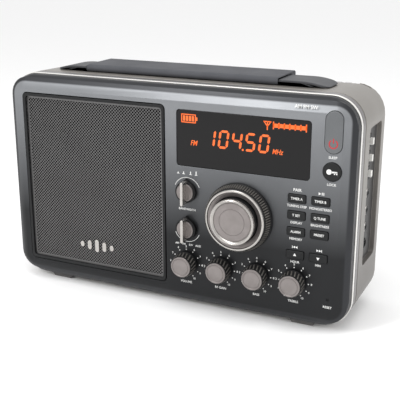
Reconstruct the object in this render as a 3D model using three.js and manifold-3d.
// A field shortwave receiver as an assembly of separate pieces.
// Millimetres. +Z is up, the front panel faces -Y, and +X is the right side seen from the front.
// The origin is on the surface the radio stands on, under the middle of its bounding box.
import * as THREE from "three";
import { mergeVertices } from "three/addons/utils/BufferGeometryUtils.js";
import Module from "manifold-3d";

const wasm = await Module();
wasm.setup();

// ---- Driving dimensions of the case ----
const caseWidth = 350;
const caseHeight = 206.5;
const caseDepth = 98; // front panel face to rear face
const cornerRadius = 27;
const footHeight = 4.5;
const wall = 3;
const panelThickness = 2.5;
const gap = 0.3; // between pieces that touch on the real radio
const knobReach = 18.5; // tuning knob face in front of the panel

// ---- Front of the case ----
const bandSide = 12.5; // panel edge to case side
const bandTop = 14;
const bandBottom = 15.5;
const panelCorner = 6;
const bezelInset = 0.8; // front cabinet under the outline of the middle frame
const frontCabinetDepth = 16;
const middleFrameDepth = 8.4;
const seamWidth = 1.8; // open groove between middle frame and rear cabinet
const seamDepth = 2;
const rearRound = 5;
const rearDrop = 1.4; // fall of the case top from the seam to the rear

// ---- Grille and speaker ----
const grilleMargin = 5.5; // panel edge to grille opening
const grilleWidth = 156;
const grilleTopMargin = 3.5;
const grilleBottomMargin = 2.5;
const grilleSeam = 0.8;
const grilleRim = 3.5;
const meshThickness = 1;
const meshDepth = 2.3; // front of the mesh behind the panel face
const speakerRadius = 64;
const basketSides = 28;
const magnetRadius = 36;
const magnetHeight = 17;
const badgeWidth = 38;
const badgeHeight = 10;

// ---- Display ----
const displayWidth = 125;
const displayHeight = 51;
const windowThickness = 1.6;
const lcdThickness = 7;

// ---- Buttons and keys ----
const powerWidth = 15;
const powerHeight = 35.5;
const lockRadius = 8;
const keyWidth = 16;
const keyHeight = 7.5;
const keyTravel = 1;
const buttonGap = 0.35;
const resetHole = 1.2;
const resetPin = 0.8;

// ---- Knobs, pots and switches ----
const ringRadius = 31.5;
const ringReach = 12.5;
const tuningKnobRadius = 21;
const smallKnobRadius = 11.3;
const smallKnobReach = 12.7;
const smallKnobPitch = 35.1;
const selectorRadius = 10;
const selectorTip = 12.5;
const selectorReach = 12.6;
const fingerBarLength = 22;
const fingerBarWidth = 3;
const stemRadius = 3;
const stemClearance = 0.35;
const sleeveWall = 1.7;
const tuningSides = 40;
const potRadius = 8.5;
const potDepth = 8.6;
const skirtGap = 0.6; // knob skirt to panel face

// ---- Boards ----
const boardThickness = 1.6;
const controlBoardDepth = 13; // front of the control board behind the panel face
const mainBoardDepth = 40;
const boardClearance = 0.9; // over the tallest part, to the battery tray
const sideBoardSpace = 6; // side board to the recess floor

// ---- Right side recess ----
const recessDepth = 4.5;
const recessFront = 41; // from the panel face
const recessBack = 83;
const recessBottomMargin = 49;
const recessTopMargin = 31.5;
const jackRadius = 4;
const jackBore = 1.8;
const dcRadius = 4.4;
const tabHeight = 6;
const tabWidth = 4;
const tabTravel = 3.6;

// ---- Battery bay for two pairs of D cells ----
const cellDiameter = 34.2;
const cellLength = 61.5;
const contactLength = 6; // room for the spring and plate at the ends of each pair
const trayWall = 1.6;
const coverThickness = 2.4;
const coverLip = 4; // cover beyond the bay on each side
const bayBottomMargin = 16;
const bayCells = 2;

// ---- Handle ----
const handleShift = -3; // middle of the strap from the middle of the case
const gripShift = -7.8; // middle of the grip from the middle of the case
const gripLength = 198.5;
const gripFront = 37.5; // from the panel face
const gripDepth = 48.5;
const gripHeight = 7.4;
const strapFront = 39;
const strapWidth = 35;
const strapThickness = 2.2;
const strapRise = 4.9; // top of the strap over the case
const strapFlat = 232; // level part between the curved ends
const strapCorner = 8;
const strapEdge = 0.5; // thickness of the thinned ends
const strapEndLip = 2.5; // strap beyond its outer legs
const innerLayer = 1.6; // second layer under each end
const innerLegSpan = 248;
const outerLegSpan = 275;
const legWidth = 22;
const handleLift = 15;
const legToe = 2;
const legClearance = 0.4;

// ---- Telescopic antenna in its trough ----
const mastRadius = 2.2;
const mastBore = 1.75;
const middleRadius = 1.5;
const middleBore = 1.05;
const rodRadius = 0.8;
const tipRadius = 2.1;
const tipLength = 6;
const tipClearance = 0.4; // round the tip where it slides out over the case
const mastLength = 286;
const antennaX = -152; // swivel axis
const antennaDepth = 91; // swivel axis behind the panel face
const turretRadius = 4.5;
const troughWidth = 8;
const troughFloor = 9; // under the rear edge of the case top
const rearLipDrop = 5; // rear lip of the trough under the same edge

// ---- Feet and ferrite rod ----
const footWidth = 24;
const footDepth = 15;
const footSpan = 260;
const footRear = 82;
const studRadius = 2.5;
const ferriteRadius = 5;
const ferriteLength = 170;

// ---- Places that follow from the sizes ----
const panelY = (knobReach - caseDepth) / 2;
const backY = panelY + caseDepth;
const bottomZ = footHeight;
const topZ = footHeight + caseHeight;
const halfWidth = caseWidth / 2;
const panelLeft = -halfWidth + bandSide;
const panelRight = halfWidth - bandSide;
const panelBottom = bottomZ + bandBottom;
const panelTop = topZ - bandTop;
const frontSeamY = panelY + frontCabinetDepth;
const frameRearY = frontSeamY + gap + middleFrameDepth;
const rearFrontY = frameRearY + seamWidth;
const rearTopZ = topZ - rearDrop;
const controlY = panelY + controlBoardDepth;

// Controls keep their share of the space right of the grille and of the panel's height.
const controlsLeft = panelLeft + grilleMargin + grilleWidth;
const controlsWidth = panelRight - controlsLeft;
const panelHeight = panelTop - panelBottom;
const across = (share) => controlsLeft + share * controlsWidth;
const up = (share) => panelBottom + share * panelHeight;

const displayX = across(0.4535);
const displayZ = up(0.8165);
const powerX = across(0.954);
const powerZ = panelTop + 3 - powerHeight / 2;
const lockZ = up(0.729);
const keyColumns = [across(0.7735), across(0.9018)];
const keyRows = [up(0.577), up(0.4925), up(0.4085), up(0.289)];
const resetX = across(0.963);
const resetZ = up(0.079);
const tuningX = across(0.449);
const tuningZ = up(0.441);
const selectorX = across(0.1345);
const bandwidthZ = up(0.539);
const bandZ = up(0.339);
const smallKnobZ = up(0.144);
const smallKnobX = (i) => tuningX + (i - 1.5) * smallKnobPitch;

// ---- Materials ----
const paint = (color, roughness, metalness) =>
  new THREE.MeshStandardMaterial({ color, roughness, metalness });
const gunmetal = paint(0x5f6164, 0.42, 0.35);
const frameGrey = paint(0xa8a39e, 0.38, 0.4);
const taupe = paint(0x9a948f, 0.5, 0.15);
const meshBlack = paint(0x55504e, 0.45, 0.5);
const brightMetal = paint(0xc9c6c3, 0.25, 0.9);
const knobMetal = paint(0x9b9492, 0.35, 0.6);
const blackPlastic = paint(0x1d1e20, 0.5, 0);
const glassBlack = paint(0x101113, 0.08, 0);
const keyBlack = paint(0x2b2c2e, 0.55, 0);
const rubber = paint(0x232324, 0.85, 0);
const strapRubber = paint(0x4c4d50, 0.75, 0);
const boardGreen = paint(0x24573a, 0.6, 0);
const steel = paint(0xb4b4b2, 0.35, 0.85);
const paperCone = paint(0x2a2827, 0.9, 0);
const ferrite = paint(0x3a3736, 0.6, 0.1);
const chrome = paint(0xdadada, 0.12, 1);

// ---- Solids ----
function solidOf(geometry) {
  const bare = geometry.clone();
  bare.deleteAttribute("normal");
  bare.deleteAttribute("uv");
  const merged = mergeVertices(bare, 1e-4);
  return new wasm.Manifold(
    new wasm.Mesh({
      numProp: 3,
      vertProperties: merged.attributes.position.array,
      triVerts: new Uint32Array(merged.index.array),
    }),
  );
}

function geometryOf(solid) {
  const mesh = solid.getMesh();
  const geometry = new THREE.BufferGeometry();
  geometry.setAttribute("position", new THREE.BufferAttribute(mesh.vertProperties, 3));
  geometry.setIndex(new THREE.BufferAttribute(mesh.triVerts, 1));
  const flat = geometry.toNonIndexed();
  flat.computeVertexNormals();
  return flat;
}

const join = (first, ...others) => others.reduce((a, b) => a.add(b), first);
const cut = (first, ...others) => others.reduce((a, b) => a.subtract(b), first);

// A box between two corners.
function block(x0, x1, y0, y1, z0, z1) {
  const geometry = new THREE.BoxGeometry(x1 - x0, y1 - y0, z1 - z0);
  geometry.translate((x0 + x1) / 2, (y0 + y1) / 2, (z0 + z1) / 2);
  return solidOf(geometry);
}

// An outline of points pulled along one axis. The outline lies in the other two axes,
// in the order (x, z) for y, (y, z) for x and (x, y) for z.
function prism(points, axis, from, to) {
  const depth = to - from;
  const shape = new THREE.Shape(points.map(([u, v]) => new THREE.Vector2(u, v)));
  const geometry = new THREE.ExtrudeGeometry(shape, { depth, bevelEnabled: false });
  if (axis === "y") {
    geometry.rotateX(Math.PI / 2);
    geometry.translate(0, to, 0);
  } else if (axis === "x") {
    geometry.rotateX(Math.PI / 2);
    geometry.rotateZ(Math.PI / 2);
    geometry.translate(from, 0, 0);
  } else {
    geometry.translate(0, 0, from);
  }
  return solidOf(geometry);
}

// A rectangle between two corners with round corners, as points anticlockwise.
function roundRect(u0, u1, v0, v1, radius, steps = 6) {
  const r = Math.min(radius, (u1 - u0) / 2, (v1 - v0) / 2);
  const centres = [
    [u1 - r, v1 - r],
    [u0 + r, v1 - r],
    [u0 + r, v0 + r],
    [u1 - r, v0 + r],
  ];
  const points = [];
  centres.forEach(([cu, cv], corner) => {
    for (let i = 0; i <= steps; i++) {
      const angle = ((corner + i / steps) * Math.PI) / 2;
      points.push([cu + r * Math.cos(angle), cv + r * Math.sin(angle)]);
    }
  });
  return points.filter(
    (p, i) => i === 0 || Math.hypot(p[0] - points[i - 1][0], p[1] - points[i - 1][1]) > 1e-6,
  );
}

const circle = (u, v, radius, sides) =>
  Array.from({ length: sides }, (_, i) => {
    const angle = (2 * Math.PI * i) / sides;
    return [u + radius * Math.cos(angle), v + radius * Math.sin(angle)];
  });

const cylinderY = (x, z, radius, y0, y1, sides = 24) =>
  prism(circle(x, z, radius, sides), "y", y0, y1);
const cylinderX = (y, z, radius, x0, x1, sides = 20) =>
  prism(circle(y, z, radius, sides), "x", x0, x1);
const cylinderZ = (x, y, radius, z0, z1, sides = 20) =>
  prism(circle(x, y, radius, sides), "z", z0, z1);

// A skin through outlines in (x, z), front to back, all with the same number of points.
function loft(sections) {
  const count = sections[0].points.length;
  const positions = [];
  sections.forEach(({ y, points }) => points.forEach(([x, z]) => positions.push(x, y, z)));
  const index = [];
  for (let s = 0; s + 1 < sections.length; s++) {
    for (let i = 0; i < count; i++) {
      const a = s * count + i;
      const b = s * count + ((i + 1) % count);
      index.push(a, b + count, b, a, a + count, b + count);
    }
  }
  const contour = sections[0].points.map(([x, z]) => new THREE.Vector2(x, z));
  const last = (sections.length - 1) * count;
  THREE.ShapeUtils.triangulateShape(contour, []).forEach(([a, b, c]) => {
    index.push(a, b, c, last + a, last + c, last + b);
  });
  const geometry = new THREE.BufferGeometry();
  geometry.setAttribute("position", new THREE.Float32BufferAttribute(positions, 3));
  geometry.setIndex(index);
  return solidOf(geometry);
}

// A turned piece about an axis along Y through (x, z). The profile is a closed loop or starts
// and ends on the axis, as (radius, y) points.
function turned(profile, x, z, sides) {
  const onAxis = profile[0][0] === 0;
  const loop = onAxis ? profile : [...profile, profile[0]];
  const area = profile.reduce((sum, [r, y], i) => {
    const [r2, y2] = profile[(i + 1) % profile.length];
    return sum + r * y2 - r2 * y;
  }, 0);
  const points = (area > 0 ? loop : [...loop].reverse()).map(([r, y]) => new THREE.Vector2(r, y));
  const geometry = new THREE.LatheGeometry(points, sides);
  geometry.translate(x, 0, z);
  return solidOf(geometry);
}

// The case outline, moved in by an inset, at a distance behind the panel face.
const outline = (inset, drop = 0) =>
  roundRect(
    -halfWidth + inset,
    halfWidth - inset,
    bottomZ + inset,
    topZ - inset - drop,
    cornerRadius - inset,
    cornerSteps,
  );

const cornerSteps = 7;
const model = new THREE.Group();

function place(name, solid, material) {
  const mesh = new THREE.Mesh(geometryOf(solid), material);
  mesh.name = name;
  model.add(mesh);
}

// ---- Grille opening in the panel ----
const grille = {
  left: panelLeft + grilleMargin,
  right: panelLeft + grilleMargin + grilleWidth,
  bottom: panelBottom + grilleBottomMargin,
  top: panelTop - grilleTopMargin,
};
const grilleRect = (inset, radius) =>
  roundRect(
    grille.left + inset,
    grille.right - inset,
    grille.bottom + inset,
    grille.top - inset,
    radius,
    4,
  );
const speakerX = (grille.left + grille.right) / 2;
const speakerZ = (grille.bottom + grille.top) / 2;

const obround = (x, z, width, height, clearance) =>
  roundRect(
    x - width / 2 - clearance,
    x + width / 2 + clearance,
    z - height / 2 - clearance,
    z + height / 2 + clearance,
    width / 2 + clearance,
    6,
  );
const rectAt = (x, z, width, height, clearance, radius, steps = 3) =>
  roundRect(
    x - width / 2 - clearance,
    x + width / 2 + clearance,
    z - height / 2 - clearance,
    z + height / 2 + clearance,
    radius,
    steps,
  );

// The front cabinet: a flat panel that stands forward on a sloping band, inside a round bezel.
function frontCabinet() {
  const skin = [
    { y: 0, left: 0, top: 0, bottom: 0, radius: panelCorner },
    { y: 4.9, left: 10.1, top: 10.3, bottom: 10.3, radius: 18 },
    { y: 6.4, left: 11.3, top: 11.6, bottom: 11.9, radius: 24 },
  ];
  const rim = (inset, y) => ({ y: panelY + y, points: outline(inset) });
  const sections = skin.map(({ y, left, top, bottom, radius }) => ({
    y: panelY + y,
    points: roundRect(
      panelLeft - left,
      panelRight + left,
      panelBottom - bottom,
      panelTop + top,
      radius,
      cornerSteps,
    ),
  }));
  const outer = loft([
    ...sections,
    rim(bezelInset + 0.5, 8),
    rim(bezelInset, 10),
    rim(bezelInset, frontCabinetDepth),
  ]);
  const inside = loft([
    {
      y: panelY + panelThickness,
      points: roundRect(
        panelLeft + 0.5,
        panelRight - 0.5,
        panelBottom + 0.5,
        panelTop - 0.5,
        panelCorner,
        cornerSteps,
      ),
    },
    rim(bezelInset + wall + 0.5, 9.5),
    rim(bezelInset + wall, frontCabinetDepth + 1),
  ]);
  const through = (points) => prism(points, "y", panelY - 2, panelY + 12);
  const stemHole = (x, z, radius) => cylinderY(x, z, radius, panelY - 2, panelY + 6, 16);
  const keyHoles = keyPlaces().map(({ x, z }) =>
    through(rectAt(x, z, keyWidth, keyHeight, buttonGap, 1, 1)),
  );
  const potHoles = smallKnobs.map((_, i) => stemHole(smallKnobX(i), smallKnobZ, stemRadius + 0.8));
  return cut(
    outer,
    inside,
    through(grilleRect(0, 5)),
    through(rectAt(displayX, displayZ, displayWidth, displayHeight, gap, 3)),
    through(obround(powerX, powerZ, powerWidth, powerHeight, buttonGap)),
    through(circle(powerX, lockZ, lockRadius + buttonGap, 28)),
    stemHole(tuningX, tuningZ, stemRadius + stemClearance + sleeveWall + 0.6),
    stemHole(selectorX, bandwidthZ, stemRadius + 0.8),
    stemHole(selectorX, bandZ, stemRadius + 0.8),
    cylinderY(resetX, resetZ, resetHole, panelY - 2, panelY + 6, 14),
    ...potHoles,
    ...keyHoles,
  );
}

const smallKnobs = ["volume", "rf_gain", "bass", "treble"];
const keyNames = [
  ["pair", "play"],
  ["step", "stereo"],
  ["display", "brightness"],
  ["back", "forward"],
];
function keyPlaces() {
  return keyNames.flatMap((row, r) =>
    row.map((name, c) => ({ name, x: keyColumns[c], z: keyRows[r] })),
  );
}

// The studs of the feet: the front pair in the middle frame, the rear pair in the rear cabinet.
function studHoles() {
  return footPlaces.map(({ x, y }) =>
    cylinderZ(x, y, studRadius + gap, bottomZ - 1, bottomZ + wall + seamDepth + 1, 12),
  );
}

// The middle frame: a ring at full outline with a tongue that enters the rear cabinet.
function middleFrame() {
  const y0 = frontSeamY + gap;
  const tongue = frameRearY + seamWidth + 5;
  const lip = 0.5;
  const ring = loft([
    { y: y0, points: outline(lip) },
    { y: y0 + lip, points: outline(0) },
    { y: frameRearY, points: outline(0) },
  ]);
  const innerWall = wall + seamDepth;
  return cut(
    join(ring, prism(outline(wall + gap), "y", frameRearY - 1, tongue)),
    prism(outline(innerWall), "y", y0 - 1, tongue + 1),
    ...studHoles(),
  );
}

// ---- Battery bay ----
const bayWidth = 2 * cellLength + 2 * contactLength;
const bayHeight = bayCells * cellDiameter + 2;
const bayDepth = cellDiameter + 1;
const bayZ0 = bottomZ + bayBottomMargin;
const bayZ1 = bayZ0 + bayHeight;
const trayBackY = backY - coverThickness - gap;
const trayFrontY = trayBackY - bayDepth - trayWall;
const coverZ0 = bayZ0 - coverLip;
const coverZ1 = bayZ1 + coverLip;
const coverHalf = bayWidth / 2 + coverLip;

// ---- Right side recess ----
const recessFloorX = halfWidth - recessDepth;
const recessY0 = panelY + recessFront;
const recessY1 = panelY + recessBack;
const recessZ0 = bottomZ + recessBottomMargin;
const recessZ1 = topZ - recessTopMargin;
const socketY = recessY0 + 20;
const alongRecess = (share) => recessZ0 + share * (recessZ1 - recessZ0);
const switchPlaces = [0.88, 0.76, 0.645].map(alongRecess);
const jackPlaces = [0.5, 0.373, 0.246].map(alongRecess);
const dcZ = alongRecess(0.123);

// ---- Handle legs ----
const strapY0 = panelY + strapFront;
const strapY1 = strapY0 + strapWidth;
const legY0 = (strapY0 + strapY1 - legWidth) / 2;
const legY1 = legY0 + legWidth;
const legMiddles = [-outerLegSpan, -innerLegSpan, innerLegSpan, outerLegSpan].map(
  (span) => handleShift + span / 2,
);

// ---- Antenna places ----
const antennaY = panelY + antennaDepth;
const troughZ = rearTopZ - troughFloor;
const mastZ = rearTopZ - mastRadius + 0.2;
const troughEndX = antennaX + mastLength + tipLength + 10;
const turretRoom = turretRadius + 0.7;
const frameMiddleY = (frontSeamY + gap + frameRearY) / 2;
const footPlaces = [
  { name: "foot_front_left", x: -footSpan / 2, y: frameMiddleY },
  { name: "foot_front_right", x: footSpan / 2, y: frameMiddleY },
  { name: "foot_rear_left", x: -footSpan / 2, y: panelY + footRear },
  { name: "foot_rear_right", x: footSpan / 2, y: panelY + footRear },
];

// The rear cabinet: a deep tub with the battery opening, antenna trough, strap slots and recess.
function rearCabinet() {
  const tub = loft([
    { y: rearFrontY, points: outline(0) },
    { y: backY - rearRound, points: outline(0, rearDrop) },
    { y: backY - rearRound * 0.35, points: outline(rearRound * 0.25, rearDrop) },
    { y: backY, points: outline(rearRound * 0.85, rearDrop) },
  ]);
  const hollow = loft([
    { y: rearFrontY - 1, points: outline(wall) },
    { y: backY - wall, points: outline(wall, rearDrop) },
  ]);
  const recessPad = block(
    recessFloorX - wall,
    halfWidth - wall / 2,
    recessY0 - wall,
    recessY1 + wall,
    recessZ0 - wall,
    recessZ1 + wall,
  );
  const troughBed = block(
    -halfWidth,
    halfWidth,
    antennaY - troughWidth / 2 - wall,
    backY - wall / 2,
    troughZ - wall,
    topZ - wall / 2,
  ).intersect(prism(outline(wall / 2, rearDrop), "y", rearFrontY, backY - wall / 2));
  const bayFrame = cut(
    block(-coverHalf - 2, coverHalf + 2, backY - 6, backY - wall / 2, coverZ0 - 2, coverZ1 + 2),
    block(
      -bayWidth / 2 - trayWall - gap,
      bayWidth / 2 + trayWall + gap,
      backY - 7,
      backY,
      bayZ0 - trayWall - gap,
      bayZ1 + trayWall + gap,
    ),
  );
  const shell = join(cut(tub, hollow), recessPad, troughBed, bayFrame);
  const recess = prism(
    roundRect(recessY0, recessY1, recessZ0, recessZ1, 5, 4),
    "x",
    recessFloorX,
    halfWidth + 1,
  );
  const trough = block(
    -halfWidth - 1,
    troughEndX,
    antennaY - troughWidth / 2,
    antennaY + troughWidth / 2,
    troughZ,
    topZ + 1,
  );
  const runOut = block(
    troughEndX - 1,
    halfWidth + 1,
    antennaY - tipRadius - tipClearance,
    antennaY + tipRadius + tipClearance,
    mastZ - tipRadius - tipClearance,
    topZ + 1,
  );
  const rearLip = block(
    -halfWidth - 1,
    troughEndX,
    antennaY,
    backY + 1,
    rearTopZ - rearLipDrop,
    topZ + 1,
  );
  const coverSeat = block(
    -coverHalf - gap,
    coverHalf + gap,
    backY - coverThickness - gap,
    backY + 1,
    coverZ0 - gap,
    coverZ1 + gap,
  );
  const bayHole = block(
    -bayWidth / 2 - trayWall - gap,
    bayWidth / 2 + trayWall + gap,
    backY - 8,
    backY + 1,
    bayZ0 - trayWall - gap,
    bayZ1 + trayWall + gap,
  );
  const slots = legMiddles.map((x) =>
    block(
      x - strapThickness / 2 - legClearance,
      x + strapThickness / 2 + legClearance,
      legY0 - legClearance,
      legY1 + legClearance,
      topZ - cornerRadius,
      topZ + 1,
    ),
  );
  const tabSlots = switchPlaces.map((z) =>
    prism(
      roundRect(
        socketY - tabWidth / 2 - 0.5,
        socketY + tabWidth / 2 + 0.5,
        z - tabHeight / 2 - 0.5,
        z + tabHeight / 2 + tabTravel + 0.5,
        0.8,
        2,
      ),
      "x",
      recessFloorX - wall - 1,
      recessFloorX + 1,
    ),
  );
  const jackHoles = jackPlaces.map((z) =>
    cylinderX(socketY, z, jackRadius + gap, recessFloorX - wall - 1, recessFloorX + 1),
  );
  return cut(
    shell,
    recess,
    trough,
    runOut,
    rearLip,
    coverSeat,
    bayHole,
    cylinderX(socketY, dcZ, dcRadius + gap, recessFloorX - wall - 1, recessFloorX + 1),
    cylinderZ(antennaX, antennaY, turretRoom, troughZ, topZ + 1, 24),
    cylinderZ(antennaX, antennaY, turretRadius - 1, troughZ - wall - 1, troughZ + 1, 24),
    ...slots,
    ...tabSlots,
    ...jackHoles,
    ...studHoles(),
  );
}

function grilleFrame() {
  const flangeY = panelY + panelThickness + gap;
  const seatY = panelY + meshDepth - gap;
  const body = join(
    prism(grilleRect(grilleSeam, 4), "y", panelY - 0.6, flangeY + 1),
    prism(grilleRect(-1.5, 6), "y", flangeY, flangeY + 1.5),
  );
  return cut(
    body,
    prism(grilleRect(grilleRim, 3), "y", panelY - 2, flangeY + 3),
    prism(grilleRect(grilleRim - 1.5, 3), "y", seatY, flangeY + 3),
  );
}

function grilleBadge() {
  const z = grille.bottom + 23.5;
  return prism(
    rectAt(speakerX, z, badgeWidth, badgeHeight, 0, 2),
    "y",
    panelY + meshDepth - gap - 0.9,
    panelY + meshDepth - gap,
  );
}

// The loudspeaker: a steel basket with windows, a paper cone and the magnet behind.
const speakerY = panelY + panelThickness + gap + 1.5 + gap;
const basketDepth = 27;
const magnetY = speakerY + basketDepth + gap;

function speakerBasket() {
  const back = speakerY + basketDepth;
  const coneMouth = speakerRadius - 7;
  const shell = turned(
    [
      [speakerRadius, speakerY],
      [speakerRadius, speakerY + 2],
      [speakerRadius - 4, speakerY + 3],
      [32, back - 4],
      [32, back],
      [11, back],
      [11, back - 1.5],
      [29.5, back - 1.5],
      [29.5, back - 5.5],
      [coneMouth, speakerY + 3.2],
      [coneMouth, speakerY],
    ],
    speakerX,
    speakerZ,
    basketSides,
  );
  const windows = Array.from({ length: 6 }, (_, i) => {
    const angle = (i * Math.PI) / 3;
    const [c, s] = [Math.cos(angle), Math.sin(angle)];
    const corner = (along, side) => [
      speakerX + along * c - side * s,
      speakerZ + along * s + side * c,
    ];
    const points = [corner(36, -9), corner(53, -15), corner(53, 15), corner(36, 9)];
    return prism(points, "y", speakerY + 2.2, back + 1);
  });
  return cut(shell, ...windows);
}

function speakerCone() {
  const mouth = speakerRadius - 7 - gap;
  const thin = 0.8;
  return turned(
    [
      [0, speakerY + 12],
      [10, speakerY + 17],
      [mouth - 6, speakerY + 1.5],
      [mouth - 3, speakerY + 0.2],
      [mouth, speakerY + 1.5],
      [mouth, speakerY + 1.5 + thin],
      [mouth - 3, speakerY + 0.2 + thin],
      [mouth - 6, speakerY + 1.5 + thin],
      [10, speakerY + 17 + thin],
      [9, speakerY + 22],
      [7, speakerY + 22],
      [7, speakerY + 16 + thin],
      [0, speakerY + 12 + thin],
    ],
    speakerX,
    speakerZ,
    basketSides,
  );
}

function speakerMagnet() {
  return turned(
    [
      [0, magnetY],
      [magnetRadius - 3, magnetY],
      [magnetRadius - 3, magnetY + 3],
      [magnetRadius, magnetY + 3],
      [magnetRadius, magnetY + magnetHeight - 3],
      [magnetRadius - 3, magnetY + magnetHeight - 3],
      [magnetRadius - 3, magnetY + magnetHeight],
      [0, magnetY + magnetHeight],
    ],
    speakerX,
    speakerZ,
    24,
  );
}

function displayWindow() {
  const front = panelY + 0.5;
  return prism(
    rectAt(displayX, displayZ, displayWidth, displayHeight, 0, 2.7),
    "y",
    front,
    front + windowThickness,
  );
}

function lcdModule() {
  const front = panelY + panelThickness + gap;
  return join(
    prism(
      rectAt(displayX, displayZ, displayWidth + 6, displayHeight + 4, 0, 1),
      "y",
      front,
      front + lcdThickness,
    ),
    block(
      displayX - 30,
      displayX + 30,
      front + lcdThickness - 1,
      controlY - gap,
      displayZ - displayHeight / 2,
      displayZ - displayHeight / 2 + 6,
    ),
  );
}

// A push button: a cap through the panel, a flange behind it and a stem towards its switch.
const flangeY = panelY + panelThickness + keyTravel + gap;
const stemEndY = controlY - 4.2;
function pushButton(capPoints, flangePoints, x, z, proud) {
  return join(
    prism(capPoints, "y", panelY - proud, flangeY + 0.6),
    prism(flangePoints, "y", panelY + panelThickness + gap, flangeY),
    block(x - 1.6, x + 1.6, flangeY - 0.5, stemEndY, z - 1.6, z + 1.6),
  );
}

function powerButton() {
  return join(
    prism(obround(powerX, powerZ, powerWidth, powerHeight, 0), "y", panelY - 0.8, stemEndY - 1),
    block(powerX - 5, powerX + 5, panelY + 6, stemEndY, powerZ - 14, powerZ - 4),
  );
}

function lockButton() {
  return join(
    prism(circle(powerX, lockZ, lockRadius, 28), "y", panelY - 1, panelY + 4),
    block(powerX - 1.6, powerX + 1.6, panelY + 3, stemEndY, lockZ - 1.6, lockZ + 1.6),
  );
}

function resetButton() {
  return join(
    cylinderY(resetX, resetZ, resetPin, panelY + 0.4, panelY + 5, 12),
    cylinderY(resetX, resetZ, resetHole + 0.8, panelY + 4, stemEndY, 12),
  );
}

// ---- Tuning: a coarse ring around a fine knob, on concentric shafts ----
const sleeveRadius = stemRadius + stemClearance + sleeveWall;
const encoderY = panelY + panelThickness + gap;

function tuningRing() {
  const y = (reach) => panelY - reach;
  const bore = tuningKnobRadius + 0.6;
  return turned(
    [
      [sleeveRadius, encoderY + 4],
      [sleeveRadius, y(skirtGap)],
      [ringRadius, y(skirtGap)],
      [ringRadius, y(2.4)],
      [ringRadius - 3, y(ringReach - 2)],
      [ringRadius - 4, y(ringReach)],
      [ringRadius - 6, y(ringReach)],
      [bore + 0.6, y(ringReach - 4)],
      [bore, y(ringReach - 4.4)],
      [bore, y(3.4)],
      [stemRadius + stemClearance, y(3.4)],
      [stemRadius + stemClearance, encoderY + 4],
    ],
    tuningX,
    tuningZ,
    tuningSides,
  );
}

function tuningKnob() {
  const y = (reach) => panelY - reach;
  const r = tuningKnobRadius;
  return turned(
    [
      [0, encoderY + 8],
      [stemRadius, encoderY + 8],
      [stemRadius, y(3.8)],
      [r - 1, y(3.8)],
      [r, y(5)],
      [r, y(knobReach - 1.4)],
      [r - 0.7, y(knobReach - 0.3)],
      [r - 1.6, y(knobReach)],
      [r - 2.4, y(knobReach - 0.9)],
      [r - 3.4, y(knobReach - 1.8)],
      [0, y(knobReach - 2.1)],
    ],
    tuningX,
    tuningZ,
    tuningSides,
  );
}

function tuningEncoder() {
  return cut(
    block(tuningX - 13, tuningX + 13, encoderY, controlY - gap, tuningZ - 13, tuningZ + 13),
    cylinderY(tuningX, tuningZ, sleeveRadius + 0.4, encoderY - 1, encoderY + 4.4, tuningSides),
    cylinderY(tuningX, tuningZ, stemRadius + 0.4, encoderY - 1, encoderY + 8.5, tuningSides),
  );
}

function smallKnob(x) {
  const y = (reach) => panelY - reach;
  const cap = smallKnobRadius - 1.7;
  return turned(
    [
      [0, encoderY + 6],
      [stemRadius, encoderY + 6],
      [stemRadius, y(skirtGap)],
      [smallKnobRadius, y(skirtGap)],
      [smallKnobRadius - 0.7, y(smallKnobReach - 1.2)],
      [cap, y(smallKnobReach)],
      [cap - 1.2, y(smallKnobReach)],
      [cap - 1.7, y(smallKnobReach - 0.7)],
      [0, y(smallKnobReach - 0.5)],
    ],
    x,
    smallKnobZ,
    24,
  );
}

// A pot or rotary switch body with pins that stop short of the control board.
function potBody(x, z) {
  const body = join(
    cylinderY(x, z, potRadius, encoderY, encoderY + potDepth, 16),
    block(x - 6, x + 6, encoderY + 1, controlY - gap, z - potRadius - 3.5, z - potRadius + 2),
  );
  return cut(body, cylinderY(x, z, stemRadius + stemClearance, encoderY - 1, encoderY + 6.5, 24));
}

// A selector knob: a base with a pointed top, a bright dish and a finger bar across it.
function selectorKnob(x, z) {
  const y = (reach) => panelY - reach;
  const half = Math.PI / 9;
  const arc = Array.from({ length: 21 }, (_, i) => {
    const angle = Math.PI / 2 + half + (i / 20) * (2 * Math.PI - 2 * half);
    return [x + selectorRadius * Math.cos(angle), z + selectorRadius * Math.sin(angle)];
  });
  const bar = [
    [x - fingerBarWidth / 2, y(selectorReach)],
    [x + fingerBarWidth / 2, y(selectorReach)],
    [x + fingerBarWidth / 2 + 1, y(4)],
    [x - fingerBarWidth / 2 - 1, y(4)],
  ];
  return join(
    prism([[x, z + selectorTip], ...arc], "y", y(4.6), y(skirtGap)),
    cylinderY(x, z, selectorRadius - 2.2, y(6), y(4), 24),
    prism(bar, "z", z - fingerBarLength / 2, z + fingerBarLength / 2),
    cylinderY(x, z, stemRadius, y(1), encoderY + 6, 24),
  );
}

// ---- Boards ----
function controlBoard() {
  const top = panelTop - 6;
  const plate = block(
    controlsLeft + 4,
    panelRight - 1,
    controlY,
    controlY + boardThickness,
    panelBottom + 4,
    top,
  );
  const tact = ({ x, z }) => block(x - 3, x + 3, controlY - 2.4, controlY + 0.5, z - 3, z + 3);
  const places = [
    ...keyPlaces(),
    { x: powerX, z: powerZ - 9 },
    { x: powerX, z: lockZ },
    { x: resetX, z: resetZ },
  ];
  const chips = [
    block(tuningX - 12, tuningX + 12, controlY + 1, controlY + 5, tuningZ - 8, tuningZ + 8),
    block(selectorX - 6, selectorX + 12, controlY + 1, controlY + 6, bandZ - 4, bandZ + 4),
  ];
  return join(plate, ...places.map(tact), ...chips);
}

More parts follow.
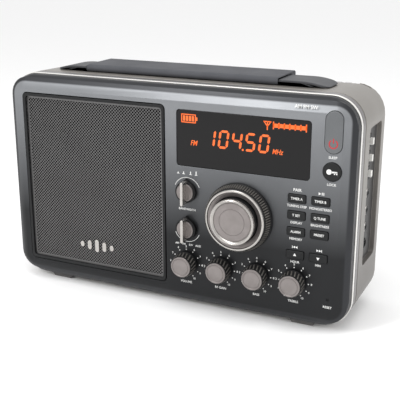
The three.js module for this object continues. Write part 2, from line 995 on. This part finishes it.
const mainBoardY = panelY + mainBoardDepth;
function mainBoard() {
  const left = controlsLeft + 6;
  const right = recessFloorX - wall - sideBoardSpace - 6;
  const low = bottomZ + wall + 6;
  const high = topZ - wall - handleLift - 20;
  const back = mainBoardY + boardThickness;
  const room = trayFrontY - back - boardClearance;
  // Each part's place and height are shares of the board and of the space over it.
  const part = (u, v, w, h, tall) => {
    const x = left + u * (right - left);
    const z = low + v * (high - low);
    return block(x - w / 2, x + w / 2, back - 0.5, back + tall * room, z - h / 2, z + h / 2);
  };
  return join(
    block(left, right, mainBoardY, back, low, high),
    part(0.25, 0.82, 46, 34, 0.6875),
    part(0.66, 0.82, 30, 26, 0.5),
    part(0.2, 0.5, 18, 18, 0.1875),
    part(0.5, 0.52, 24, 12, 0.75),
    part(0.8, 0.5, 12, 22, 0.75),
    part(0.3, 0.18, 30, 14, 0.625),
    part(0.75, 0.2, 22, 22, 0.375),
  );
}

const sideBoardX = recessFloorX - wall - sideBoardSpace;
function sideBoard() {
  const plate = block(
    sideBoardX - boardThickness,
    sideBoardX,
    socketY - 12,
    socketY + 12,
    recessZ0 + 4,
    recessZ1 - 4,
  );
  const housings = switchPlaces.map((z) => {
    const box = block(
      sideBoardX - 0.5,
      recessFloorX - wall - gap,
      socketY - 4,
      socketY + 4,
      z - tabHeight / 2 - 1.6,
      z + tabHeight / 2 + tabTravel + 1.2,
    );
    const channel = block(
      sideBoardX + 2,
      recessFloorX,
      socketY - tabWidth / 2 - 0.5,
      socketY + tabWidth / 2 + 0.5,
      z - tabHeight / 2 - 0.5,
      z + tabHeight / 2 + tabTravel + 0.5,
    );
    return cut(box, channel);
  });
  return join(plate, ...housings);
}

function slideTab(z) {
  return block(
    sideBoardX + 2.4,
    halfWidth - 1.2,
    socketY - tabWidth / 2,
    socketY + tabWidth / 2,
    z - tabHeight / 2,
    z + tabHeight / 2,
  );
}

function jack(z, radius, bore) {
  const body = join(
    block(sideBoardX + gap, recessFloorX - wall - gap, socketY - 6, socketY + 6, z - 5.4, z + 5.4),
    cylinderX(socketY, z, radius, recessFloorX - wall - 1, recessFloorX + 1),
  );
  return cut(body, cylinderX(socketY, z, bore, sideBoardX + 1.5, recessFloorX + 2));
}

function dcJack() {
  const pin = cylinderX(socketY, dcZ, 1, sideBoardX + 1, recessFloorX + 0.2, 12);
  return join(jack(dcZ, dcRadius, dcRadius - 1.2), pin);
}

// ---- Battery tray and cover ----
function batteryTray() {
  const outer = block(
    -bayWidth / 2 - trayWall,
    bayWidth / 2 + trayWall,
    trayFrontY,
    trayBackY,
    bayZ0 - trayWall,
    bayZ1 + trayWall,
  );
  const room = block(
    -bayWidth / 2,
    bayWidth / 2,
    trayBackY - bayDepth,
    trayBackY + 1,
    bayZ0,
    bayZ1,
  );
  return cut(outer, room);
}

function batteryCover() {
  return prism(
    roundRect(-coverHalf, coverHalf, coverZ0, coverZ1, 2, 2),
    "y",
    backY - coverThickness,
    backY,
  );
}

// ---- Handle: a strap whose two legs at each end slide in the top, and a padded grip ----
const strapTopZ = topZ + strapRise;
function handleStrap() {
  const flatEnd = strapFlat / 2;
  const end = outerLegSpan / 2 + strapEndLip;
  const landedZ = topZ + gap;
  const steps = 8;
  // One end of a layer as (x, z) points: level, then curving down to its thin edge on the case.
  const curve = (sign, from, to, highZ, thick) => {
    const share = Array.from({ length: steps + 1 }, (_, i) => i / steps);
    const x = (t) => handleShift + sign * (from + t * (to - from));
    const z = (t) => highZ - (highZ - landedZ - strapEdge) * t ** 2;
    const over = share.map((t) => [x(t), z(t)]);
    const under = share.map((t) => [x(t), Math.max(landedZ, z(t) - thick)]);
    return { over, under };
  };
  const right = curve(1, flatEnd, end, strapTopZ, strapThickness);
  const left = curve(-1, flatEnd, end, strapTopZ, strapThickness);
  const profile = [
    ...left.over.reverse(),
    ...right.over,
    ...right.under.reverse(),
    ...left.under,
  ];
  const plan = roundRect(
    handleShift - end,
    handleShift + end,
    strapY0,
    strapY1,
    strapCorner,
    4,
  );
  const arch = prism(profile, "y", strapY0, strapY1).intersect(
    prism(plan, "z", topZ - 1, strapTopZ + 1),
  );
  const second = (sign) => {
    const highZ = strapTopZ - strapThickness + gap;
    const { over, under } = curve(sign, flatEnd - 2, innerEnd, highZ, innerLayer);
    return prism([...over, ...under.reverse()], "y", strapY0, strapY1);
  };
  const innerEnd = innerLegSpan / 2 + strapThickness / 2 + strapEdge;
  const toeZ = rearTopZ - wall - gap - handleLift;
  const leg = (middle, sign) => {
    const x0 = middle - strapThickness / 2;
    const x1 = middle + strapThickness / 2;
    const lean = -sign * legToe;
    return join(
      block(x0, x1, legY0, legY1, toeZ - 2, landedZ + strapEdge),
      block(Math.min(x0, x0 + lean), Math.max(x1, x1 + lean), legY0, legY1, toeZ - 2, toeZ),
    );
  };
  const [outerLeft, innerLeft, innerRight, outerRight] = legMiddles;
  return join(
    arch,
    second(-1),
    second(1),
    leg(outerLeft, -1),
    leg(innerLeft, -1),
    leg(innerRight, 1),
    leg(outerRight, 1),
  );
}

function handleGrip() {
  const y0 = panelY + gripFront;
  const y1 = y0 + gripDepth;
  const z0 = topZ + gap;
  const z1 = topZ + gripHeight;
  const points = [
    [y0 + 1.6, z0],
    [y1 - 1.6, z0],
    [y1, z0 + 1.8],
    [y1, z1 - 1.6],
    [y1 - 1.8, z1],
    [y0 + 5, z1 - 0.4],
    [y0 + 1.8, z1 - 1.1],
    [y0 + 0.4, z1 - 2.4],
    [y0, z0 + 2.2],
  ];
  const x0 = gripShift - gripLength / 2;
  const body = prism(points, "x", x0, x0 + gripLength);
  const strapRoom = block(
    x0 - 1,
    x0 + gripLength + 1,
    strapY0 - gap,
    strapY1 + gap,
    strapTopZ - strapThickness - gap,
    strapTopZ + gap,
  );
  return cut(body, strapRoom);
}

// ---- Antenna ----
function antennaBase() {
  const turret = join(
    cylinderZ(antennaX, antennaY, turretRadius, troughZ + gap, rearTopZ - 0.4, 24),
    cylinderZ(antennaX, antennaY, turretRadius - 1.4, troughZ - wall - 2, troughZ + 1, 24),
  );
  const fork = block(
    antennaX - turretRadius - 1,
    antennaX + turretRadius + 1,
    antennaY - 1.9,
    antennaY + 1.9,
    troughZ + 3.2,
    topZ,
  );
  const pin = prism(circle(antennaX, mastZ - 1, 0.9, 12), "y", antennaY - 4, antennaY + 4);
  return join(cut(turret, fork), pin);
}

function antennaMast() {
  const eye = cut(
    prism(circle(antennaX, mastZ - 1, 2.5, 20), "y", antennaY - 1.5, antennaY + 1.5),
    prism(circle(antennaX, mastZ - 1, 1.25, 20), "y", antennaY - 2, antennaY + 2),
  );
  const neck = cut(
    block(antennaX + 1, antennaX + 8, antennaY - 1.5, antennaY + 1.5, mastZ - 2.2, mastZ + 0.8),
    prism(circle(antennaX, mastZ - 1, 1.25, 20), "y", antennaY - 2, antennaY + 2),
  );
  const tube = cylinderX(antennaY, mastZ, mastRadius, antennaX + 7, antennaX + mastLength, 16);
  const bore = cylinderX(antennaY, mastZ, mastBore, antennaX + 10, antennaX + mastLength + 1, 16);
  return cut(join(eye, neck, tube), bore);
}

function antennaMiddle() {
  const start = antennaX + 12;
  const end = antennaX + mastLength + 3;
  return cut(
    cylinderX(antennaY, mastZ, middleRadius, start, end, 16),
    cylinderX(antennaY, mastZ, middleBore, start + 2, end + 1, 16),
  );
}

function antennaTip() {
  const start = antennaX + 16;
  const end = antennaX + mastLength + 3 + gap;
  return join(
    cylinderX(antennaY, mastZ, rodRadius, start, end + 1, 12),
    cylinderX(antennaY, mastZ, tipRadius, end, end + tipLength, 16),
  );
}

function foot({ x, y }) {
  const top = bottomZ - gap;
  const half = footWidth / 2;
  const pad = [
    [x - half + 2, 0],
    [x + half - 2, 0],
    [x + half, top - 1],
    [x + half, top],
    [x - half, top],
    [x - half, top - 1],
  ];
  return join(
    prism(pad, "y", y - footDepth / 2, y + footDepth / 2),
    cylinderZ(x, y, studRadius, top - 1, bottomZ + wall + 2, 12),
  );
}

function ferriteRod() {
  const y = panelY + 60;
  const z = topZ - wall - ferriteRadius - 10;
  const x0 = handleShift - ferriteLength / 2;
  return join(
    cylinderX(y, z, ferriteRadius, x0, x0 + ferriteLength, 20),
    cylinderX(y, z, ferriteRadius + 1.4, x0 + 22, x0 + 58, 20),
    cylinderX(y, z, ferriteRadius + 1.4, x0 + 104, x0 + 130, 20),
  );
}

// ---- The assembly ----
place("front_cabinet", frontCabinet(), gunmetal);
place("middle_frame", middleFrame(), frameGrey);
place("rear_cabinet", rearCabinet(), taupe);
place("grille_frame", grilleFrame(), gunmetal);
place(
  "grille_mesh",
  prism(
    grilleRect(grilleRim - 1.5 + gap, 3),
    "y",
    panelY + meshDepth,
    panelY + meshDepth + meshThickness,
  ),
  meshBlack,
);
place("grille_badge", grilleBadge(), brightMetal);
place("speaker_basket", speakerBasket(), steel);
place("speaker_cone", speakerCone(), paperCone);
place("speaker_magnet", speakerMagnet(), ferrite);
place("display_window", displayWindow(), glassBlack);
place("lcd_module", lcdModule(), blackPlastic);

keyPlaces().forEach(({ name, x, z }) => {
  const cap = rectAt(x, z, keyWidth, keyHeight, 0, 0.8, 1);
  const flange = rectAt(x, z, keyWidth + 2, keyHeight + 2, 0, 0.8, 1);
  place(`key_${name}`, pushButton(cap, flange, x, z, 1.1), keyBlack);
});
place("power_button", powerButton(), gunmetal);
place("lock_button", lockButton(), keyBlack);
place("reset_button", resetButton(), blackPlastic);

place("tuning_ring", tuningRing(), rubber);
place("tuning_knob", tuningKnob(), knobMetal);
place("tuning_encoder", tuningEncoder(), steel);
smallKnobs.forEach((name, i) => {
  place(`${name}_knob`, smallKnob(smallKnobX(i)), rubber);
  place(`${name}_pot`, potBody(smallKnobX(i), smallKnobZ), steel);
});
place("bandwidth_knob", selectorKnob(selectorX, bandwidthZ), knobMetal);
place("bandwidth_switch", potBody(selectorX, bandwidthZ), steel);
place("band_knob", selectorKnob(selectorX, bandZ), knobMetal);
place("band_switch", potBody(selectorX, bandZ), steel);

place("control_board", controlBoard(), boardGreen);
place("main_board", mainBoard(), boardGreen);
place("side_board", sideBoard(), boardGreen);
["upper", "middle", "lower"].forEach((name, i) => {
  place(`slide_switch_${name}`, slideTab(switchPlaces[i]), brightMetal);
});
["headphone", "line_in", "line_out"].forEach((name, i) => {
  place(`${name}_jack`, jack(jackPlaces[i], jackRadius, jackBore), blackPlastic);
});
place("dc_jack", dcJack(), blackPlastic);

place("battery_tray", batteryTray(), blackPlastic);
place("battery_cover", batteryCover(), taupe);
place("handle_strap", handleStrap(), strapRubber);
place("handle_grip", handleGrip(), strapRubber);
place("antenna_base", antennaBase(), chrome);
place("antenna_mast", antennaMast(), chrome);
place("antenna_middle", antennaMiddle(), chrome);
place("antenna_tip", antennaTip(), chrome);
footPlaces.forEach((spot) => place(spot.name, foot(spot), rubber));
place("ferrite_rod", ferriteRod(), ferrite);

export default model;
